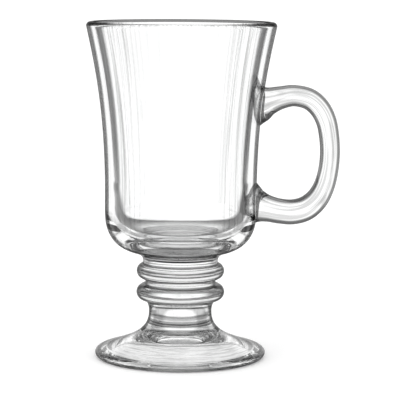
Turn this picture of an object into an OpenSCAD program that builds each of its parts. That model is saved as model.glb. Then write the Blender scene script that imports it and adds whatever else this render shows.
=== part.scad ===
// Footed glass mug for hot coffee: a thick flared bowl on a short stem with two
// rings, a wide round foot, and a D-shaped loop handle on the +X side.
// The origin is on the bowl's axis, in the plane that the foot rests on.

/* [Bowl] */
// Height of the rim above the table
rim_z = 150.5; // [142:0.5:158]
// Outer radius of the rim
rim_r = 42.4; // [40.5:0.1:44]
// Outer radius of the straight lower part of the bowl
belly_r = 34; // [33.2:0.1:34.8]
// Wall thickness at the rim
rim_wall = 3.6; // [3:0.1:4.4]
// Wall thickness of the straight lower part of the bowl
belly_wall = 4.2; // [3.6:0.1:5]
// Height of the inside floor above the table
floor_z = 54.4; // [53:0.1:56.5]

/* [Neck and rings] */
// Radius of the neck under the bowl
neck_r = 16.8; // [16.2:0.1:17.4]
// How far the rings stand out from the groove between them
ring_bulge = 3.9; // [3.4:0.1:4.4]
// Radius of the groove between the two rings
groove_r = 15.8; // [15:0.1:16.4]

/* [Stem] */
// Radius of the stem at its narrowest
waist_r = 14.1; // [13:0.1:14.8]

/* [Foot] */
// Radius of the foot at its widest
foot_r = 38.3; // [36.5:0.1:40]
// Height of the hollow under the foot at its middle
foot_hollow = 10; // [7:0.5:10.5]
// Radius of the hollow under the foot, where the resting ring begins
hollow_r = 32; // [31:0.5:33]

/* [Handle] */
// Thickness of the handle, seen from the side, as a factor
handle_thick = 1; // [0.85:0.01:1.1]
// Width of the handle across the mug, at its middle
handle_w = 11.6; // [10:0.1:13]
// Extra reach of the loop away from the bowl
handle_reach = 0; // [-3:0.5:4]

/* [Hidden] */
$fn = 128;

// Faces where the pieces are joined, measured up from the table
neck_z0 = 42.3;     // underside of the bowl's neck, on top of the upper ring
groove_z = 34.1;    // between the two rings
stem_z1 = 25.9;     // top of the stem, under the lower ring
stem_z0 = 12;       // bottom of the stem, on the foot
stem_r1 = 16.6;     // radius of the stem's top face
stem_r0 = waist_r + 3.9; // radius of the stem's bottom face
upper_ring_z = 38.9;
lower_ring_z = 29.3;

// A cubic curve through p[0] and p[3], pulled towards p[1] and p[2], in n steps
function curve(p, n) = [
  for (i = [0:n]) let (t = i / n, s = 1 - t)
    s * s * s * p[0] + 3 * s * s * t * p[1] + 3 * s * t * t * p[2] + t * t * t * p[3]
];
// The same without its first point, to follow another curve
function curve_on(p, n) = [for (i = [1:n]) curve(p, n)[i]];
// Points on a circle from angle a0 to a1
function arc(c, r, a0, a1, n) = [
  for (i = [0:n]) let (a = a0 + (a1 - a0) * i / n) [c[0] + r * cos(a), c[1] + r * sin(a)]
];

// The bowl's outer line, from the rim down to the neck's underside
lip_r = rim_wall / 2;
lip_c = [rim_r - lip_r, rim_z - lip_r];
bowl_outside = concat(
  curve([[rim_r, rim_z - 1.9], [rim_r - 4.1, rim_z - 20.5], [belly_r + 0.2, 110], [belly_r, 76]], 22),
  curve_on([[belly_r, 76], [belly_r, 69], [belly_r + 0.2, 65], [belly_r - 0.3, 61]], 5),
  curve_on([[belly_r - 0.3, 61], [belly_r - 1.4, 54.6], [29.2, 49.9], [22.1, 47.9]], 12),
  curve_on([[22.1, 47.9], [18.4, 46.8], [neck_r + 0.4, 45.8], [neck_r, 44]], 7),
  [[neck_r, neck_z0]]
);
// The bowl's inner line, from the middle of the floor up to the rim
cavity_r = belly_r - belly_wall;
bowl_inside = concat(
  [[0, floor_z]],
  curve([[12, floor_z + 0.1], [25, floor_z + 0.2], [cavity_r, 58.4], [cavity_r - 0.1, 68]], 16),
  curve_on([[cavity_r - 0.1, 68], [cavity_r - 0.1, 72], [cavity_r, 76], [cavity_r, 80]], 4),
  curve_on([[cavity_r, 80], [cavity_r + 1.1, 112], [rim_r - 7.9, rim_z - 19.5], [rim_r - rim_wall, rim_z - lip_r]], 22)
);

// A ring bead between two flat faces. Its round edge stands out from a core of groove radius,
// which shows as a straight band where the round edge ends short of a face.
module ring_bead(z0, z1, zc, bulge, top_r, bottom_r) {
  r = bulge - 0.4;
  c = [groove_r + 0.4, zc];
  rotate_extrude() union() {
    polygon([[0, z0], [bottom_r, z0], [groove_r, zc - r * 0.8], [groove_r, zc + r * 0.8], [top_r, z1], [0, z1]]);
    intersection() {
      translate(c) circle(r);
      translate([0, z0]) square([groove_r + 2 * bulge + 2, z1 - z0]);
    }
  }
}

// Cross-section of the foot and the stem where they meet: one smooth line, cut at stem_z0
stem_foot_line = curve([[waist_r, 21.1], [waist_r, 15.3], [waist_r + 1.7, 11.1], [29, 6.4]], 20);

module solid_bowl() {
  rotate_extrude() polygon(concat([[0, neck_z0]], [for (i = [len(bowl_outside) - 1:-1:0]) bowl_outside[i]], arc(lip_c, lip_r, 5, 90, 6), [[0, rim_z]]));
}

module bowl() {
  color([0.86, 0.87, 0.88, 0.35])
    rotate_extrude()
      polygon(concat(
        [[0, neck_z0]],
        [for (i = [len(bowl_outside) - 1:-1:0]) bowl_outside[i]],
        arc(lip_c, lip_r, 12, 168, 12),
        [for (i = [len(bowl_inside) - 1:-1:0]) bowl_inside[i]]
      ));
}

module upper_ring() {
  color([0.80, 0.81, 0.82, 0.45])
    ring_bead(groove_z, neck_z0, upper_ring_z, ring_bulge, neck_r, groove_r);
}

module lower_ring() {
  color([0.80, 0.81, 0.82, 0.45])
    ring_bead(stem_z1, groove_z, lower_ring_z, ring_bulge + 0.1, groove_r, stem_r1);
}

module stem() {
  color([0.84, 0.85, 0.86, 0.4])
    rotate_extrude()
      polygon(concat(
        [[0, stem_z1], [stem_r1, stem_z1]],
        curve_on([[stem_r1, stem_z1], [15, 24.9], [waist_r + 0.2, 23.8], [waist_r, 21.1]], 8),
        [for (p = stem_foot_line) if (p[1] < 21 && p[1] > stem_z0 + 0.15) p],
        [[stem_r0, stem_z0], [0, stem_z0]]
      ));
}

module foot() {
  sphere_r = (hollow_r * hollow_r + foot_hollow * foot_hollow) / (2 * foot_hollow);
  color([0.86, 0.87, 0.88, 0.35])
    difference() {
      rotate_extrude()
        polygon(concat(
          [[0, stem_z0], [stem_r0, stem_z0]],
          [for (p = stem_foot_line) if (p[1] < stem_z0 - 0.15) p],
          curve_on([[29, 6.4], [32, 5.2], [foot_r - 4, 4.5], [foot_r - 2, 4]], 6),
          curve_on([[foot_r - 2, 4], [foot_r + 0.2, 3.5], [foot_r + 0.6, 1.6], [foot_r - 0.6, 0.5]], 8),
          [[foot_r - 1.2, 0], [0, 0]]
        ));
      translate([0, 0, foot_hollow - sphere_r]) sphere(r = sphere_r, $fn = 200);
    }
}

// The handle's middle line, from the upper root round to the lower one:
// X, Z, half its thickness and half its width across the mug
handle_line = [
  [32.0, 114.3, 11.6, 8.4],
  [36.4, 114.8, 8.5, 7.2],
  [39.6, 115.7, 6.2, 6.3],
  [44.4, 117.1, 5.1, 5.9],
  [50.4, 118.0, 4.75, 5.8],
  [57.0, 116.5, 4.8, 5.8],
  [61.7, 112.5, 4.75, 5.8],
  [64.7, 106.8, 4.6, 5.8],
  [66.1, 100.0, 4.5, 5.8],
  [66.6, 92.5, 4.45, 5.8],
  [66.0, 85.0, 4.5, 5.8],
  [64.3, 77.9, 4.7, 5.8],
  [61.1, 71.8, 5.1, 5.8],
  [56.2, 67.5, 5.5, 5.9],
  [50.3, 65.8, 5.6, 6.0],
  [44.5, 66.1, 5.6, 6.2],
  [39.6, 67.1, 5.9, 6.4],
  [36.2, 67.9, 6.9, 6.8],
  [33.6, 68.5, 8.6, 7.6],
  [29.5, 69.6, 11.4, 8.8]
];
// Reach grows smoothly from the roots to the far side
function reach_at(x) = handle_reach * max(0, min(1, (x - 36) / 26));
function line_pt(i) = let (p = handle_line[max(0, min(len(handle_line) - 1, i))])
  [p[0] + reach_at(p[0]), p[1], p[2] * handle_thick, p[3] * handle_w / 11.6];
// A smooth curve through the points, two steps for each gap
function smooth(i, t) = let (a = line_pt(i - 1), b = line_pt(i), c = line_pt(i + 1), d = line_pt(i + 2))
  0.5 * (2 * b + (c - a) * t + (2 * a - 5 * b + 4 * c - d) * t * t + (3 * b - a - 3 * c + d) * t * t * t);
handle_steps = 3;
handle_pts = concat(
  [for (i = [0:len(handle_line) - 2], j = [0:handle_steps - 1]) smooth(i, j / handle_steps)],
  [line_pt(len(handle_line) - 1)]
);
handle_sides = 24;
function slope(i) = let (a = handle_pts[max(0, i - 1)], b = handle_pts[min(len(handle_pts) - 1, i + 1)], d = [b[0] - a[0], b[1] - a[1]]) d / norm(d);
// Rounded section: slightly fuller than an ellipse
function full(v) = sign(v) * pow(abs(v), 0.88);
function handle_ring(i) = let (p = handle_pts[i], d = slope(i)) [
  for (k = [0:handle_sides - 1]) let (a = 360 * k / handle_sides, u = p[2] * full(cos(a)), v = p[3] * full(sin(a)))
    [p[0] - d[1] * u, v, p[1] + d[0] * u]
];

module handle_loop() {
  n = len(handle_pts);
  m = handle_sides;
  polyhedron(
    points = [for (i = [0:n - 1]) each handle_ring(i)],
    faces = concat(
      [[for (k = [0:m - 1]) k]],
      [for (i = [0:n - 2], k = [0:m - 1]) let (a = i * m + k, b = i * m + (k + 1) % m) each [[a, a + m, b], [b, a + m, b + m]]],
      [[for (k = [m - 1:-1:0]) (n - 1) * m + k]]
    ),
    convexity = 6
  );
}

module handle() {
  color([0.84, 0.85, 0.86, 0.4])
    difference() {
      handle_loop();
      solid_bowl();
    }
}

bowl();
handle();
upper_ring();
lower_ring();
stem();
foot();
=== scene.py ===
"""Looks of the footed glass mug: six hot-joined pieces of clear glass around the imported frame."""
import math

import bmesh
import bpy
import numpy as np
from mathutils import Matrix, Vector, noise


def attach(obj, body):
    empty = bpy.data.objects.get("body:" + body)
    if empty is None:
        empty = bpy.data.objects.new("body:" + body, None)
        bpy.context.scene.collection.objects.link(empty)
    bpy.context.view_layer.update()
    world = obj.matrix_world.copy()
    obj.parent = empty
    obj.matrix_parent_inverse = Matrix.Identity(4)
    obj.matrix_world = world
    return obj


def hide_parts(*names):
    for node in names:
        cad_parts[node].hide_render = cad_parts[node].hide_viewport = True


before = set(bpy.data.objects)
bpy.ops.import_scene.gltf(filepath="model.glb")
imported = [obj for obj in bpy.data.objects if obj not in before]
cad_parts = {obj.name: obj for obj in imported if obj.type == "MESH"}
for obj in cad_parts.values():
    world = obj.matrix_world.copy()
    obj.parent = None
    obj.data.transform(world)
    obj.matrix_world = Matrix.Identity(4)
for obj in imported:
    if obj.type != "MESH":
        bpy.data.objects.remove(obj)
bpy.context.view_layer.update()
scene = bpy.context.scene
MM = 0.001

# ---------------------------------------------------------------- curves


def curve(p0, p1, p2, p3, n):
    t = np.linspace(0, 1, n + 1)[:, None]
    s = 1 - t
    p0, p1, p2, p3 = (np.array(p, float) for p in (p0, p1, p2, p3))
    return s**3 * p0 + 3 * s * s * t * p1 + 3 * s * t * t * p2 + t**3 * p3


def arc(c, r, a0, a1, n):
    a = np.radians(np.linspace(a0, a1, n + 1))
    return np.column_stack([c[0] + r * np.cos(a), c[1] + r * np.sin(a)])


def join(*parts):
    out = [np.array(parts[0], float)]
    for p in parts[1:]:
        p = np.array(p, float)
        if np.linalg.norm(p[0] - out[-1][-1]) < 1e-6:
            p = p[1:]
        out.append(p)
    return np.vstack(out)


def respace(line, step):
    """The same line with its points about step apart."""
    d = np.r_[0, np.cumsum(np.linalg.norm(np.diff(line, axis=0), axis=1))]
    n = max(2, int(round(d[-1] / step)) + 1)
    s = np.linspace(0, d[-1], n)
    return np.column_stack([np.interp(s, d, line[:, 0]), np.interp(s, d, line[:, 1])])


# ---------------------------------------------------------------- lathe


def mesh_object(name, verts, faces, mats, face_mat, smooth=True):
    me = bpy.data.meshes.new(name)
    me.from_pydata([tuple(v) for v in verts], [], faces)
    me.validate()
    for m in mats:
        me.materials.append(m)
    me.polygons.foreach_set("material_index", np.array(face_mat, np.int32))
    me.polygons.foreach_set("use_smooth", np.full(len(me.polygons), smooth))
    me.update()
    ob = bpy.data.objects.new(name, me)
    scene.collection.objects.link(ob)
    return ob


def lathe(name, sections, mats, segments=224, wobble=None):
    """A closed solid of revolution. sections is a list of (points, material index); neighbours share end points,
    and the first and last points lie on the axis."""
    pts, mat_of = [], []
    for line, m in sections:
        line = np.array(line, float)
        if pts:
            line = line[1:]
        for p in line:
            pts.append(p)
        mat_of += [m] * (len(line) if len(mat_of) else len(line) - 1)
    pts = np.array(pts)
    n = len(pts)
    th = np.arange(segments) * 2 * math.pi / segments
    verts, faces, fm = [], [], []
    rows = []
    for i, (r, z) in enumerate(pts):
        if r < 1e-6:
            rows.append([len(verts)])
            verts.append((0, 0, z * MM))
        else:
            row = []
            for a in th:
                rr, zz = r, z
                if wobble is not None:
                    rr, zz = wobble(r, z, a, i / (n - 1))
                row.append(len(verts))
                verts.append((rr * MM * math.cos(a), rr * MM * math.sin(a), zz * MM))
            rows.append(row)
    for i in range(n - 1):
        a, b = rows[i], rows[i + 1]
        m = mat_of[i]
        for k in range(segments):
            k2 = (k + 1) % segments
            if len(a) == 1:
                faces.append((a[0], b[k2], b[k]))
            elif len(b) == 1:
                faces.append((a[k], a[k2], b[0]))
            else:
                faces.append((a[k], a[k2], b[k2], b[k]))
            fm.append(m)
    ob = mesh_object(name, verts, faces, mats, fm)
    # the direction round the axis and the way along the profile, for streaks that follow the wall however it flares
    run = np.r_[0, np.cumsum(np.linalg.norm(np.diff(pts, axis=0), axis=1))]
    turned = [(34 * MM * v[0] / max(math.hypot(v[0], v[1]), 1e-6), 34 * MM * v[1] / max(math.hypot(v[0], v[1]), 1e-6), run[i] * MM)
              for i, row in enumerate(rows) for v in (verts[k] for k in row)]
    ob.data.attributes.new("turned", "FLOAT_VECTOR", "POINT").data.foreach_set("vector", np.array(turned, np.float32).ravel())
    bm = bmesh.new()
    bm.from_mesh(ob.data)
    bmesh.ops.recalc_face_normals(bm, faces=bm.faces)
    bm.to_mesh(ob.data)
    bm.free()
    return ob


# ---------------------------------------------------------------- materials


def nodes_of(mat):
    mat.use_nodes = True
    nt = mat.node_tree
    nt.nodes.clear()
    return nt


def glass_material(name, bend_scale, bend, edge_at, edge_shade_depth, streak_scale, streak=0.12, flat_on=0.15, fill=(0.50, 0.66),
                   turn=(0.02, 0.45), edge_on=1.0, band=None, pale=None, swell=None, inside=None,
                   grain=None, tint=(0.99, 0.994, 0.993), rough=0.01):
    """Clear glass. bend_scale and bend are the stretch and strength of the slow waves left by pressing. edge_at is
    where the painted edge shade starts and where it is full, as 1 - cos of the angle, and edge_shade_depth is how much
    light it then keeps back: a dark coat where the glass is seen edge-on, which draws its outlines as painted shade and
    only partly stands for glass being denser edge-on. streak_scale and streak are the stretch and depth of the fine
    grey streaks, pencil-like strokes of painted shade, flat_on is the share of them that shows where the glass is seen
    flat on, turn is where they show in full, edge_on is the share right at the edge, and fill sets how much of the
    surface they cover. band is a paler band of painted shade inside the edge: where it begins, is full, starts to fade
    and is gone, and how much light it keeps back. pale thins the painted edge shade towards the axis: the radius where
    it is thinnest, the radius where it is full, and the thinnest share. swell lets the painted edge shade start sooner
    low down, so the glass is painted darker towards the bottom: the height below which it does so in full, the height
    where that ends, and by how much. inside is the share of the painted edge shade, not thinned, that counts for light
    inside the glass. grain names a mesh attribute that the streaks follow instead of the object's own axes."""
    mat = bpy.data.materials.new(name)
    nt = nodes_of(mat)
    N, L = nt.nodes, nt.links
    out = N.new("ShaderNodeOutputMaterial")
    b = N.new("ShaderNodeBsdfPrincipled")
    b.inputs["Transmission Weight"].default_value = 1.0
    b.inputs["IOR"].default_value = 1.5
    tc = N.new("ShaderNodeTexCoord")

    where = tc.outputs["Object"]
    if grain:
        at = N.new("ShaderNodeAttribute")
        at.attribute_name = grain
        where = at.outputs["Vector"]

    def noise(scale, detail, roughness):
        mp = N.new("ShaderNodeMapping")
        mp.inputs["Scale"].default_value = scale
        L.new(where, mp.inputs["Vector"])
        n = N.new("ShaderNodeTexNoise")
        n.inputs["Scale"].default_value = 1.0
        n.inputs["Detail"].default_value = detail
        n.inputs["Roughness"].default_value = roughness
        L.new(mp.outputs["Vector"], n.inputs["Vector"])
        return n.outputs["Fac"]

    def span(value, lo, hi, out_lo, out_hi, smooth=True):
        n = N.new("ShaderNodeMapRange")
        n.interpolation_type = "SMOOTHSTEP" if smooth else "LINEAR"
        for socket, v in (("From Min", lo), ("From Max", hi), ("To Min", out_lo), ("To Max", out_hi)):
            n.inputs[socket].default_value = v
        L.new(value, n.inputs["Value"])
        return n.outputs["Result"]

    waves = noise(bend_scale, 3.0, 0.5)
    bump = N.new("ShaderNodeBump")
    bump.inputs["Strength"].default_value = bend
    bump.inputs["Distance"].default_value = 0.0004
    L.new(waves, bump.inputs["Height"])
    L.new(bump.outputs["Normal"], b.inputs["Normal"])
    lines = noise(streak_scale, 3.0, 0.6)
    # a touch more haze in the streaks
    L.new(span(lines, 0.45, 0.70, rough * 0.3, rough * 3), b.inputs["Roughness"])
    # painted shade: a dark coat that only counts where the glass is seen edge-on and draws its dark outlines; it stands
    # only partly for glass being denser there
    lw = N.new("ShaderNodeLayerWeight")
    lw.inputs["Blend"].default_value = 0.5
    turned_by = lw.outputs["Facing"]
    # swell: the painted edge shade starts sooner low down, painting the glass darker towards the bottom
    if swell:
        apart = N.new("ShaderNodeSeparateXYZ")
        L.new(tc.outputs["Object"], apart.inputs[0])
        sooner = N.new("ShaderNodeMath")
        sooner.operation = "ADD"
        L.new(turned_by, sooner.inputs[0])
        L.new(span(apart.outputs["Z"], swell[0], swell[1], swell[2], 0.0), sooner.inputs[1])
        turned_by = sooner.outputs[0]
    edge_shade = span(turned_by, edge_at[0], edge_at[1], 0.0, edge_shade_depth)
    # band: a paler band of painted shade inside the edge
    if band:
        both = N.new("ShaderNodeMath")
        both.operation = "MULTIPLY"
        L.new(span(lw.outputs["Facing"], band[0], band[1], 0.0, band[4]), both.inputs[0])
        L.new(span(lw.outputs["Facing"], band[2], band[3], 1.0, 0.0), both.inputs[1])
        more = N.new("ShaderNodeMath")
        more.operation = "MAXIMUM"
        L.new(edge_shade, more.inputs[0])
        L.new(both.outputs[0], more.inputs[1])
        edge_shade = more.outputs[0]
    whole = edge_shade
    # pale: the painted edge shade thins towards the axis
    if pale:
        flat = N.new("ShaderNodeVectorMath")
        flat.operation = "MULTIPLY"
        flat.inputs[1].default_value = (1, 1, 0)
        L.new(tc.outputs["Object"], flat.inputs[0])
        far = N.new("ShaderNodeVectorMath")
        far.operation = "LENGTH"
        L.new(flat.outputs["Vector"], far.inputs[0])
        thin = N.new("ShaderNodeMath")
        thin.operation = "MULTIPLY"
        L.new(edge_shade, thin.inputs[0])
        L.new(span(far.outputs["Value"], pale[0], pale[1], pale[2], 1.0), thin.inputs[1])
        edge_shade = thin.outputs[0]
    # inside: on back faces, seen from within the glass, the unthinned painted edge shade counts only by this share
    if inside is not None:
        side = N.new("ShaderNodeNewGeometry")
        less = N.new("ShaderNodeMath")
        less.operation = "MULTIPLY"
        L.new(whole, less.inputs[0])
        less.inputs[1].default_value = inside
        either = N.new("ShaderNodeMix")
        either.data_type = "FLOAT"
        L.new(side.outputs["Backfacing"], either.inputs["Factor"])
        L.new(edge_shade, either.inputs["A"])
        L.new(less.outputs[0], either.inputs["B"])
        edge_shade = either.outputs["Result"]
    # the painted edge shade is laid on as a near-black coat of IOR 1, which darkens without adding gloss
    L.new(edge_shade, b.inputs["Coat Weight"])
    b.inputs["Coat IOR"].default_value = 1.0
    b.inputs["Coat Roughness"].default_value = 0.0
    b.inputs["Coat Tint"].default_value = (0.02, 0.021, 0.022, 1)
    # painted shade: the streaks are grey pencil-like strokes, and show where the glass turns away from view
    amount = N.new("ShaderNodeMath")
    amount.operation = "MULTIPLY"
    L.new(span(lines, fill[0], fill[1], 0.0, 1.0), amount.inputs[0])
    rise = span(lw.outputs["Facing"], turn[0], turn[1], flat_on, 1.0)
    if edge_on < 1:
        fade = N.new("ShaderNodeMath")
        fade.operation = "MULTIPLY"
        L.new(rise, fade.inputs[0])
        L.new(span(lw.outputs["Facing"], 0.42, 0.56, 1.0, edge_on), fade.inputs[1])
        rise = fade.outputs[0]
    L.new(rise, amount.inputs[1])
    mix = N.new("ShaderNodeMix")
    mix.data_type = "RGBA"
    mix.inputs["A"].default_value = (*tint, 1)
    mix.inputs["B"].default_value = (*(t * (1 - streak) for t in tint), 1)
    L.new(amount.outputs[0], mix.inputs["Factor"])
    L.new(mix.outputs["Result"], b.inputs["Base Color"])
    L.new(b.outputs["BSDF"], out.inputs["Surface"])
    return mat


def fused_material():
    """The hot-fused joint: one glass runs into the other with no surface between them."""
    mat = bpy.data.materials.new("fused_joint")
    nt = nodes_of(mat)
    out = nt.nodes.new("ShaderNodeOutputMaterial")
    b = nt.nodes.new("ShaderNodeBsdfPrincipled")
    b.inputs["Base Color"].default_value = (1, 1, 1, 1)
    b.inputs["Alpha"].default_value = 0.0
    b.inputs["Roughness"].default_value = 0.0
    nt.links.new(b.outputs["BSDF"], out.inputs["Surface"])
    return mat


# each piece's glass sets how much painted edge shade it gets: the lip, crease, foot line and foot edge glass are dark
# from every side, bands of painted shade on the rim, in the creases and round the foot's bottom, and the inner corner
# and floor glass paint the bowl darker low down and in its inner corners
g_bowl = glass_material("bowl_glass", (160, 160, 6), 0.05, (0.64, 0.73), 0.80, (900, 900, 8), 0.55, flat_on=0.06, fill=(0.49, 0.61), turn=(0.05, 0.34), edge_on=0.25, grain="turned")
g_mid = glass_material("bowl_corner_glass", (60, 60, 60), 0.05, (0.62, 0.74), 0.79, (300, 300, 300), 0.35, flat_on=0.1)
g_low = glass_material("bowl_base_glass", (60, 60, 60), 0.05, (0.70, 0.81), 0.88, (300, 300, 300), 0.35, flat_on=0.1)
g_corner = glass_material("bowl_inner_corner_glass", (40, 40, 160), 0.05, (0.55, 0.68), 0.90, (90, 90, 900), 0.35, pale=(0.014, 0.0265, 0.24), swell=(0.055, 0.076, 0.20), inside=0.0)
g_floor = glass_material("bowl_floor_glass", (40, 40, 160), 0.05, (0.55, 0.68), 0.90, (90, 90, 900), 0.35, pale=(0.014, 0.0265, 0.24), swell=(0.055, 0.076, 0.20), inside=0.8)
g_inner = glass_material("bowl_inner_glass", (160, 160, 6), 0.05, (0.55, 0.68), 0.90, (700, 700, 7), 0.55, flat_on=0.06, fill=(0.49, 0.61), turn=(0.05, 0.34), edge_on=0.25, grain="turned", swell=(0.055, 0.076, 0.20))
g_lip = glass_material("bowl_lip_glass", (60, 60, 60), 0.04, (-0.30, 0.05), 0.76, (300, 300, 300), 0.10)
g_neck = glass_material("neck_glass", (25, 25, 260), 0.04, (0.70, 0.88), 0.66, (30, 30, 900), 0.35, flat_on=0.2)
g_crease = glass_material("crease_glass", (25, 25, 260), 0.04, (-0.40, 0.20), 0.62, (30, 30, 900), 0.50, flat_on=0.5)
g_foot_line = glass_material("foot_line_glass", (25, 25, 260), 0.04, (-0.40, 0.20), 0.56, (30, 30, 900), 0.50, flat_on=0.5)
g_foot_edge = glass_material("foot_edge_glass", (25, 25, 260), 0.04, (-0.40, 0.20), 0.24, (30, 30, 900), 0.40, flat_on=0.5)
g_handle = glass_material("handle_glass", (140, 140, 30), 0.05, (0.21, 0.42), 0.69, (900, 900, 18), 0.50, flat_on=1.0, fill=(0.46, 0.57), grain="along_loop", tint=(0.92, 0.924, 0.923))
g_ring = glass_material("ring_glass", (25, 25, 260), 0.04, (0.50, 0.74), 0.66, (30, 30, 900), 0.65, flat_on=0.8, fill=(0.46, 0.62), tint=(0.84, 0.844, 0.843))
g_stem = glass_material("stem_glass", (140, 140, 20), 0.04, (0.56, 0.68), 0.74, (700, 700, 40), 0.45, flat_on=0.3, band=(0.10, 0.20, 0.40, 0.50, 0.42))
g_foot = glass_material("foot_glass", (30, 30, 160), 0.04, (0.72, 0.88), 0.60, (70, 70, 1300), 0.42, flat_on=0.6, fill=(0.48, 0.60), grain="turned")
g_foot_rim = glass_material("foot_rim_glass", (30, 30, 160), 0.04, (0.30, 0.70), 0.34, (120, 120, 900), 0.40)
fused = fused_material()

# ---------------------------------------------------------------- the profile, in mm

RIM_Z, RIM_R, BELLY, WALL, RIM_W, FLOOR = 150.5, 42.4, 34.0, 4.2, 3.6, 54.4
NECK_Z0, GROOVE_Z, STEM_Z1, STEM_Z0 = 42.3, 34.1, 25.9, 12.0
NECK_R, GROOVE_R, STEM_R1, WAIST, FOOT_R = 16.8, 15.8, 16.6, 14.1, 38.3

lip_c, lip_r = (RIM_R - RIM_W / 2, RIM_Z - RIM_W / 2), RIM_W / 2
outside = join(
    curve((RIM_R, RIM_Z - 1.9), (RIM_R - 4.1, RIM_Z - 20.5), (BELLY + 0.2, 110), (BELLY, 76), 120),
    curve((BELLY, 76), (BELLY, 69), (BELLY + 0.2, 65), (BELLY - 0.3, 61), 30),
    curve((BELLY - 0.3, 61), (BELLY - 1.4, 54.6), (29.2, 49.9), (22.1, 47.9), 60),
    curve((22.1, 47.9), (18.4, 46.8), (NECK_R + 0.4, 45.8), (NECK_R, 44), 30),
    [(NECK_R, 44), (NECK_R, NECK_Z0)],
)
cav = BELLY - WALL
inside = join(
    [(0, FLOOR), (12, FLOOR + 0.1)],
    curve((12, FLOOR + 0.1), (25, FLOOR + 0.2), (cav, 58.4), (cav - 0.1, 68), 60),
    curve((cav - 0.1, 68), (cav - 0.1, 72), (cav, 76), (cav, 80), 30),
    curve((cav, 80), (cav + 1.1, 112), (RIM_R - 7.9, RIM_Z - 19.5), (RIM_R - RIM_W, RIM_Z - lip_r), 120),
)
lip = arc(lip_c, lip_r, 8, 172, 24)

out_line = respace(outside, 0.8)
in_line = respace(inside, 0.8)
disc = lambda r, z: [(0, z), (r * 0.5, z), (r, z)]
corner_to = int(np.argmax(in_line[:, 1] > 66))
floor_to = int(np.argmax(in_line[:, 0] > 19))


def runs(line, pick):
    """The line cut into stretches, each with the material that pick gives for its height."""
    line = np.array(line, float)
    use = [pick((p[1] + q[1]) / 2) for p, q in zip(line[:-1], line[1:])]
    out, start = [], 0
    for i in range(1, len(use) + 1):
        if i == len(use) or use[i] != use[start]:
            out.append((line[start: i + 1], use[start]))
            start = i
    return out


up_line = out_line[::-1]
neck_to = int(np.argmax(up_line[:, 1] > 48.4))
low_to, mid_to = (int(np.argmax(up_line[:, 1] > z)) for z in (52, 60))
neck_line = respace(up_line[: neck_to + 1], 0.2)
# below 43 mm the neck gets crease glass, a band of painted shade where it meets the ring, and the lip's inner half gets
# the lip glass, painted dark all round
bowl = lathe("bowl", [
    (disc(NECK_R, NECK_Z0), 1)] + runs(neck_line, lambda z: 6 if z < 43.0 else 5) + [
    (up_line[neck_to: low_to + 1], 7), (up_line[low_to: mid_to + 1], 8), (np.vstack([up_line[mid_to:], lip[:14]]), 0),
    (lip[13:24], 2),
    (np.vstack([lip[23:], in_line[corner_to:][::-1]]), 3),
    (in_line[floor_to: corner_to + 1][::-1], 4), (in_line[: floor_to + 1][::-1], 9),
], [g_bowl, fused, g_lip, g_inner, g_corner, g_neck, g_crease, g_low, g_mid, g_floor])


def bead(name, z0, z1, zc, bulge, r0, r1, creases, mats):
    """A ring bead between two flat faces, with a straight band at groove radius where the bead is clear of a face."""
    r = bulge - 0.4
    cx = GROOVE_R + 0.4

    def side(z_face, band_r):
        # where the bead's circle leaves the face, or the band that runs from it to the face
        if abs(z_face - zc) < r:
            return math.degrees(math.asin((z_face - zc) / r)), None
        a = math.degrees(math.acos((band_r - cx) / r))
        return math.copysign(a, z_face - zc), (band_r, z_face)

    a0, low = side(z0, r0)
    a1, high = side(z1, r1)
    line = arc((cx, zc), r, a0, a1, 60)
    if low is not None:
        line = np.vstack([[low], line])
    if high is not None:
        line = np.vstack([line, [high]])
    line = respace(line, 0.2)
    # the creases where the bead meets a face get crease glass: bands of painted shade
    pick = lambda z: 2 if any(lo < z < hi for lo, hi in creases) else 0
    return lathe(name, [
        (disc(line[0][0], z0), 1)] + runs(line, pick) + [(disc(line[-1][0], z1)[::-1], 1)], mats)


upper_ring = bead("upper_ring", GROOVE_Z, NECK_Z0, 38.9, 3.9, GROOVE_R, NECK_R, [(35.2, 36.3), (41.9, 42.3)], [g_ring, fused, g_crease])
lower_ring = bead("lower_ring", STEM_Z1, GROOVE_Z, 29.3, 4.0, STEM_R1, GROOVE_R, [(25.9, 26.9), (32.4, 33.3)], [g_ring, fused, g_crease])

sf = curve((WAIST, 21.1), (WAIST, 15.3), (WAIST + 1.7, 11.1), (29, 6.4), 200)
cut = int(np.argmin(abs(sf[:, 1] - STEM_Z0)))
sf[cut] = (sf[cut, 0], STEM_Z0)
stem_line = respace(join(curve((STEM_R1, STEM_Z1), (15.0, 24.9), (WAIST + 0.2, 23.8), (WAIST, 21.1), 40), sf[: cut + 1]), 0.4)
sr0 = stem_line[-1][0]
stem = lathe("stem", [
    (disc(STEM_R1, STEM_Z1), 1), (stem_line, 0), (disc(sr0, STEM_Z0)[::-1], 1)], [g_stem, fused])

HOLLOW, HOLLOW_R = 10.0, 32.0
sph = (HOLLOW_R**2 + HOLLOW**2) / (2 * HOLLOW)
foot_line = respace(join(
    sf[cut:],
    curve((29, 6.4), (32, 5.2), (FOOT_R - 4, 4.5), (FOOT_R - 2, 4), 30),
    curve((FOOT_R - 2, 4), (FOOT_R + 0.2, 3.5), (FOOT_R + 0.6, 1.6), (FOOT_R - 0.6, 0.5), 30),
    curve((FOOT_R - 0.6, 0.5), (FOOT_R - 0.8, 0.2), (FOOT_R - 1.0, 0), (FOOT_R - 1.4, 0), 6),
), 0.4)
rr = np.linspace(HOLLOW_R, 0, 40)
dome = np.column_stack([rr, HOLLOW - sph + np.sqrt(sph**2 - rr**2)])
dome[0, 1] = 0.0
rim_from = int(np.argmax(foot_line[:, 0] > FOOT_R - 2.4))
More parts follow.
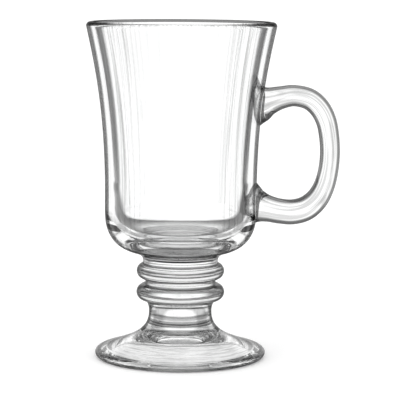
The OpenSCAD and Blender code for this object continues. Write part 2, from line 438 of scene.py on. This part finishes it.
# on the foot's rim, the bottom below 1.8 mm and the flat underside out to 35 mm get the foot line glass, and 2.5 to 3.6
# mm up the foot edge glass: bands of painted shade
foot = lathe("foot", [
    (disc(sr0, STEM_Z0), 1), (foot_line[: rim_from + 1], 0)] + runs(
        foot_line[rim_from:], lambda z: 3 if z < 1.8 else 4 if 2.5 < z < 3.6 else 2) + [
    ([(FOOT_R - 1.4, 0), (35, 0)], 3), ([(35, 0), (HOLLOW_R + 0.3, 0), (HOLLOW_R, 0.0)], 2), (dome, 0)], [g_foot, fused, g_foot_rim, g_foot_line, g_foot_edge])

# ---------------------------------------------------------------- handle

HANDLE = np.array([
    (32.0, 114.3, 11.6, 8.4), (36.4, 114.8, 8.5, 7.2), (39.6, 115.7, 6.2, 6.3), (44.4, 117.1, 5.1, 5.9),
    (50.4, 118.0, 4.75, 5.8), (57.0, 116.5, 4.8, 5.8), (61.7, 112.5, 4.75, 5.8), (64.7, 106.8, 4.6, 5.8),
    (66.1, 100.0, 4.5, 5.8), (66.6, 92.5, 4.45, 5.8), (66.0, 85.0, 4.5, 5.8), (64.3, 77.9, 4.7, 5.8),
    (61.1, 71.8, 5.1, 5.8), (56.2, 67.5, 5.5, 5.9), (50.3, 65.8, 5.6, 6.0), (44.5, 66.1, 5.6, 6.2),
    (39.6, 67.1, 5.9, 6.4), (36.2, 67.9, 6.9, 6.8), (33.6, 68.5, 8.6, 7.6), (29.5, 69.6, 11.4, 8.8)])


def smooth_line(P, steps):
    out = []
    n = len(P)
    for i in range(n - 1):
        a, b, c, d = P[max(0, i - 1)], P[i], P[i + 1], P[min(n - 1, i + 2)]
        for j in range(steps):
            t = j / steps
            out.append(0.5 * (2 * b + (c - a) * t + (2 * a - 5 * b + 4 * c - d) * t * t + (3 * b - a - 3 * c + d) * t**3))
    out.append(P[-1])
    return np.array(out)


def bowl_radius(z):
    o = outside[::-1]
    return np.interp(z, o[:, 1], o[:, 0])


line = smooth_line(HANDLE, 10)
sides = 64
d = np.gradient(line[:, :2], axis=0)
d /= np.linalg.norm(d, axis=1)[:, None]
full = lambda v: math.copysign(abs(v) ** 0.88, v)
rings = []
for p, t in zip(line, d):
    ring = []
    for k in range(sides):
        a = 2 * math.pi * k / sides
        u, v = p[2] * full(math.cos(a)), p[3] * full(math.sin(a))
        ring.append(((p[0] - t[1] * u), v, (p[1] + t[0] * u)))
    rings.append(ring)
rings = np.array(rings)
# keep the rings outside the bowl's wall; the end rings are slid along the loop onto the wall
x_wall = np.sqrt(np.maximum(0, bowl_radius(rings[:, :, 2]) ** 2 - rings[:, :, 1] ** 2))
gap = rings[:, :, 0] - x_wall
mid = len(rings) // 2
final = []
first = []
last = []
for k in range(sides):
    i = mid
    while i > 0 and gap[i - 1, k] > 0:
        i -= 1
    t = gap[i, k] / (gap[i, k] - gap[i - 1, k])
    first.append((i - 1 + (1 - t)))
    i = mid
    while i < len(rings) - 1 and gap[i + 1, k] > 0:
        i += 1
    t = gap[i, k] / (gap[i, k] - gap[i + 1, k])
    last.append(i + t)
first, last = np.array(first), np.array(last)


def at(k, s):
    i = int(np.clip(math.floor(s), 0, len(rings) - 2))
    f = s - i
    p = rings[i, k] * (1 - f) + rings[i + 1, k] * f
    return p


count = 190
verts, faces, fm = [], [], []
run = np.r_[0, np.cumsum(np.linalg.norm(np.diff(line[:, :2], axis=0), axis=1))]
grain = []
for j in range(count):
    for k in range(sides):
        s = first[k] + (last[k] - first[k]) * j / (count - 1)
        p = at(k, s)
        if j in (0, count - 1):
            p = p.copy()
            p[0] = math.sqrt(bowl_radius(p[2]) ** 2 - p[1] ** 2)
        verts.append(p * MM)
        a = 2 * math.pi * k / sides
        grain.append((5 * math.cos(a) * MM, 6 * math.sin(a) * MM, np.interp(s, np.arange(len(run)), run) * MM))
for j in range(count - 1):
    for k in range(sides):
        a, b = j * sides + k, j * sides + (k + 1) % sides
        faces.append((a, a + sides, b + sides, b))
        fm.append(0)


def cap(base, flip):
    """A patch over the end that follows the bowl's outer wall."""
    ring = np.array(verts[base: base + sides]) / MM
    c = ring.mean(0)
    prev = list(range(base, base + sides))
    steps = 6
    for q in range(1, steps):
        f = 1 - q / steps
        cur = []
        for k in range(sides):
            y, z = c[1] + (ring[k, 1] - c[1]) * f, c[2] + (ring[k, 2] - c[2]) * f
            cur.append(len(verts))
            verts.append(np.array((math.sqrt(bowl_radius(z) ** 2 - y * y), y, z)) * MM)
        for k in range(sides):
            k2 = (k + 1) % sides
            faces.append((prev[k], prev[k2], cur[k2], cur[k]) if flip else (prev[k], cur[k], cur[k2], prev[k2]))
            fm.append(1)
        prev = cur
    y, z = c[1], c[2]
    verts.append(np.array((math.sqrt(bowl_radius(z) ** 2 - y * y), y, z)) * MM)
    m = len(verts) - 1
    for k in range(sides):
        k2 = (k + 1) % sides
        faces.append((prev[k], prev[k2], m) if flip else (prev[k], m, prev[k2]))
        fm.append(1)


cap(0, False)
cap((count - 1) * sides, True)
handle = mesh_object("handle", verts, faces, [g_handle, fused], fm)
att = handle.data.attributes.new("along_loop", "FLOAT_VECTOR", "POINT")
grain += [grain[0]] * (len(handle.data.vertices) - len(grain))
att.data.foreach_set("vector", np.array(grain, np.float32).ravel())
bm = bmesh.new()
bm.from_mesh(handle.data)
bmesh.ops.recalc_face_normals(bm, faces=bm.faces)
bm.to_mesh(handle.data)
bm.free()

for ob, node, slot in ((bowl, "bowl", "bowl_glass"), (handle, "handle", "handle_glass"), (upper_ring, "upper_ring", "ring_glass"),
                       (lower_ring, "lower_ring", "ring_glass"), (stem, "stem", "stem_glass"), (foot, "foot", "foot_glass")):
    ob.name = "glass_" + node
    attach(ob, "root")
    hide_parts(node)

# ---------------------------------------------------------------- floor, surroundings and light


def plane(name, verts, mat):
    ob = mesh_object(name, verts, [tuple(range(len(verts)))], [mat], [0], smooth=False)
    return ob


def plain(name, color, rough=0.8, emit=0.0, glow=0.0):
    mat = bpy.data.materials.new(name)
    nt = nodes_of(mat)
    out = nt.nodes.new("ShaderNodeOutputMaterial")
    if emit:
        e = nt.nodes.new("ShaderNodeEmission")
        e.inputs["Color"].default_value = (*color, 1)
        e.inputs["Strength"].default_value = emit
        nt.links.new(e.outputs["Emission"], out.inputs["Surface"])
    else:
        b = nt.nodes.new("ShaderNodeBsdfPrincipled")
        b.inputs["Base Color"].default_value = (*color, 1)
        b.inputs["Roughness"].default_value = rough
        b.inputs["Emission Color"].default_value = (1, 1, 1, 1)
        b.inputs["Emission Strength"].default_value = glow
        nt.links.new(b.outputs["BSDF"], out.inputs["Surface"])
    return mat


S = 60.0
floor = plane("floor", [(-S, -S, -0.0002), (S, -S, -0.0002), (S, S, -0.0002), (-S, S, -0.0002)], plain("pale_floor", (0.97, 0.97, 0.97), rough=1.0, glow=0.12))

# A low tent of soft grey round the table, which only the glass picks up. Its wall is bright to a little over the
# mug's height and greys upwards, and the table under it is bright in a few directions and grey between them, as the
# black cards round a lit glass do.
TENT_R, TENT_H = 0.36, 0.62


def tent_material(name, lobes, dark, near, wall):
    """A grey that depends on where round the mug a point is and how far along, out over the table and then up the
    wall. Each lobe is (direction, half width at full, half width at nothing, brightness, and the four places along
    where it begins, is full, starts to fade and is gone)."""
    mat = bpy.data.materials.new(name)
    nt = nodes_of(mat)
    N, L = nt.nodes, nt.links

    def math_node(op, a, b=None, c=None):
        n = N.new("ShaderNodeMath")
        n.operation = op
        for i, v in enumerate((a, b, c)):
            if v is None:
                continue
            if isinstance(v, (int, float)):
                n.inputs[i].default_value = v
            else:
                L.new(v, n.inputs[i])
        return n.outputs[0]

    def span(value, lo, hi, out_lo, out_hi):
        n = N.new("ShaderNodeMapRange")
        n.interpolation_type = "SMOOTHSTEP"
        for socket, v in (("From Min", lo), ("From Max", hi), ("To Min", out_lo), ("To Max", out_hi)):
            n.inputs[socket].default_value = v
        L.new(value, n.inputs["Value"])
        return n.outputs["Result"]

    tc = N.new("ShaderNodeTexCoord")
    sx = N.new("ShaderNodeSeparateXYZ")
    L.new(tc.outputs["Object"], sx.inputs[0])
    x, y, z = sx.outputs
    phi = math_node("ARCTAN2", x, y)
    if wall:
        along = math_node("ADD", z, TENT_R)
    else:
        along = math_node("SQRT", math_node("ADD", math_node("MULTIPLY", x, x), math_node("MULTIPLY", y, y)))
    total = math_node("MAXIMUM", span(along, 0.028, 0.042, 0.95, near), span(along, 0.07, 0.12, near, dark))
    for centre, flat, reach, peak, s0, s1, s2, s3 in lobes:
        # turn until the lobe is at zero, then wrap to -pi..pi
        t = math_node("SUBTRACT", phi, math.radians(centre))
        t = math_node("WRAP", t, math.pi, -math.pi)
        t = math_node("ABSOLUTE", t)
        v = span(t, math.radians(flat), math.radians(reach), peak - dark, 0.0)
        v = math_node("MULTIPLY", v, span(along, s0, s1, 0.0, 1.0))
        v = math_node("MULTIPLY", v, span(along, s2, s3, 1.0, 0.0))
        total = math_node("MAXIMUM", total, math_node("ADD", v, dark))
    for centre, flat, reach, depth, s0, s1, s2, s3 in CARDS:
        t = math_node("SUBTRACT", phi, math.radians(centre))
        t = math_node("WRAP", t, math.pi, -math.pi)
        t = math_node("ABSOLUTE", t)
        v = span(t, math.radians(flat), math.radians(reach), depth, 0.0)
        v = math_node("MULTIPLY", v, span(along, s0, s1, 0.0, 1.0))
        v = math_node("MULTIPLY", v, span(along, s2, s3, 1.0, 0.0))
        total = math_node("MULTIPLY", total, math_node("SUBTRACT", 1.0, v))
    e = N.new("ShaderNodeEmission")
    L.new(total, e.inputs["Strength"])
    e.inputs["Color"].default_value = (1, 1, 1, 1)
    out = N.new("ShaderNodeOutputMaterial")
    L.new(e.outputs["Emission"], out.inputs["Surface"])
    return mat


LOBES = [
    (0, 182, 190, 1.15, 0.30, 0.38, 0.51, 0.62),
    (90, 18, 30, 1.15, 0.04, 0.06, 0.40, 0.50),
    (180, 18, 30, 1.15, 0.04, 0.06, 0.40, 0.50),
    (0, 30, 42, 1.15, 0.04, 0.06, 0.40, 0.50),
    (-90, 18, 30, 1.15, 0.04, 0.06, 0.40, 0.50),
    (135, 18, 30, 1.15, 0.04, 0.06, 0.40, 0.50),
    (180, 70, 84, 1.00, 0.030, 0.045, 0.13, 0.17),
    (56, 3, 9, 1.00, 0.10, 0.16, 0.24, 0.32),
    (-56, 3, 9, 1.00, 0.10, 0.16, 0.24, 0.32),
    (-45, 12, 30, 1.05, 0.08, 0.14, 0.36, 0.44),
]
GREY, NEAR = 0.30, 0.50
# narrow dark cards that stand at both sides of the lobes, as (direction, half width at full, half width at nothing,
# how much they take away, and the four places along)
CARDS = [(a, 6, 9, 0.60, 0.375, 0.40, 0.51, 0.62) for a in (-57, 57)]


def glass_only(ob):
    ob.visible_camera = False
    ob.visible_diffuse = False
    ob.visible_shadow = False
    return ob


ring_n = 180
vs, fs = [], []
for i in range(ring_n):
    a = 2 * math.pi * i / ring_n
    vs += [(TENT_R * math.sin(a), TENT_R * math.cos(a), -0.0001), (TENT_R * math.sin(a), TENT_R * math.cos(a), TENT_H)]
for i in range(ring_n):
    j = (i + 1) % ring_n
    fs.append((2 * i, 2 * j, 2 * j + 1, 2 * i + 1))
tent_wall = glass_only(mesh_object("tent_wall", vs, fs, [tent_material("tent_wall_grey", LOBES, GREY, NEAR, True)], [0] * len(fs), smooth=False))
vs, fs = [], []
radii = [0.00001, 0.09, 0.16, 0.26, TENT_R]
for q, rad in enumerate(radii):
    for i in range(ring_n):
        a = 2 * math.pi * i / ring_n
        vs.append((rad * math.sin(a), rad * math.cos(a), -0.0001))
for q in range(len(radii) - 1):
    for i in range(ring_n):
        j = (i + 1) % ring_n
        fs.append((q * ring_n + i, (q + 1) * ring_n + i, (q + 1) * ring_n + j, q * ring_n + j))
tent_table = glass_only(mesh_object("tent_table", vs, fs, [tent_material("tent_table_grey", LOBES, GREY, NEAR, False)], [0] * len(fs), smooth=False))

world = bpy.data.worlds.new("studio")
scene.world = world
world.use_nodes = True
bg = world.node_tree.nodes["Background"]
bg.inputs["Color"].default_value = (1, 1, 1, 1)
bg.inputs["Strength"].default_value = 1.05

key = bpy.data.lights.new("key", "AREA")
key.shape = "RECTANGLE"
key.size, key.size_y = 0.8, 0.8
key.energy = 1.2
ko = bpy.data.objects.new("key", key)
scene.collection.objects.link(ko)
ko.location = (-0.7, -0.5, 1.1)
ko.rotation_euler = (Vector((0, 0, 0.08)) - ko.location).to_track_quat("-Z", "Y").to_euler()

# ---------------------------------------------------------------- camera

cam = bpy.data.cameras.new("camera")
cam.sensor_width = 36
cam.lens = 1931.1 / 400 * 36
co = bpy.data.objects.new("camera", cam)
scene.collection.objects.link(co)
pitch, roll = math.radians(7.035), math.radians(0.371)
f = Vector((0, math.cos(pitch), -math.sin(pitch)))
r = Vector((1, 0, 0))
u = r.cross(f)
r2 = r * math.cos(roll) + u * math.sin(roll)
u2 = u * math.cos(roll) - r * math.sin(roll)
m = Matrix((r2, u2, -f)).transposed().to_4x4()
m.translation = Vector((0.00861, -0.860, 0.177))
co.matrix_world = m
scene.camera = co

scene.cycles.max_bounces = 32
scene.cycles.transmission_bounces = 28
scene.cycles.glossy_bounces = 12
scene.cycles.transparent_max_bounces = 32
scene.cycles.caustics_reflective = True
scene.cycles.caustics_refractive = True
scene.view_settings.view_transform = "Standard"
scene.view_settings.look = "None"
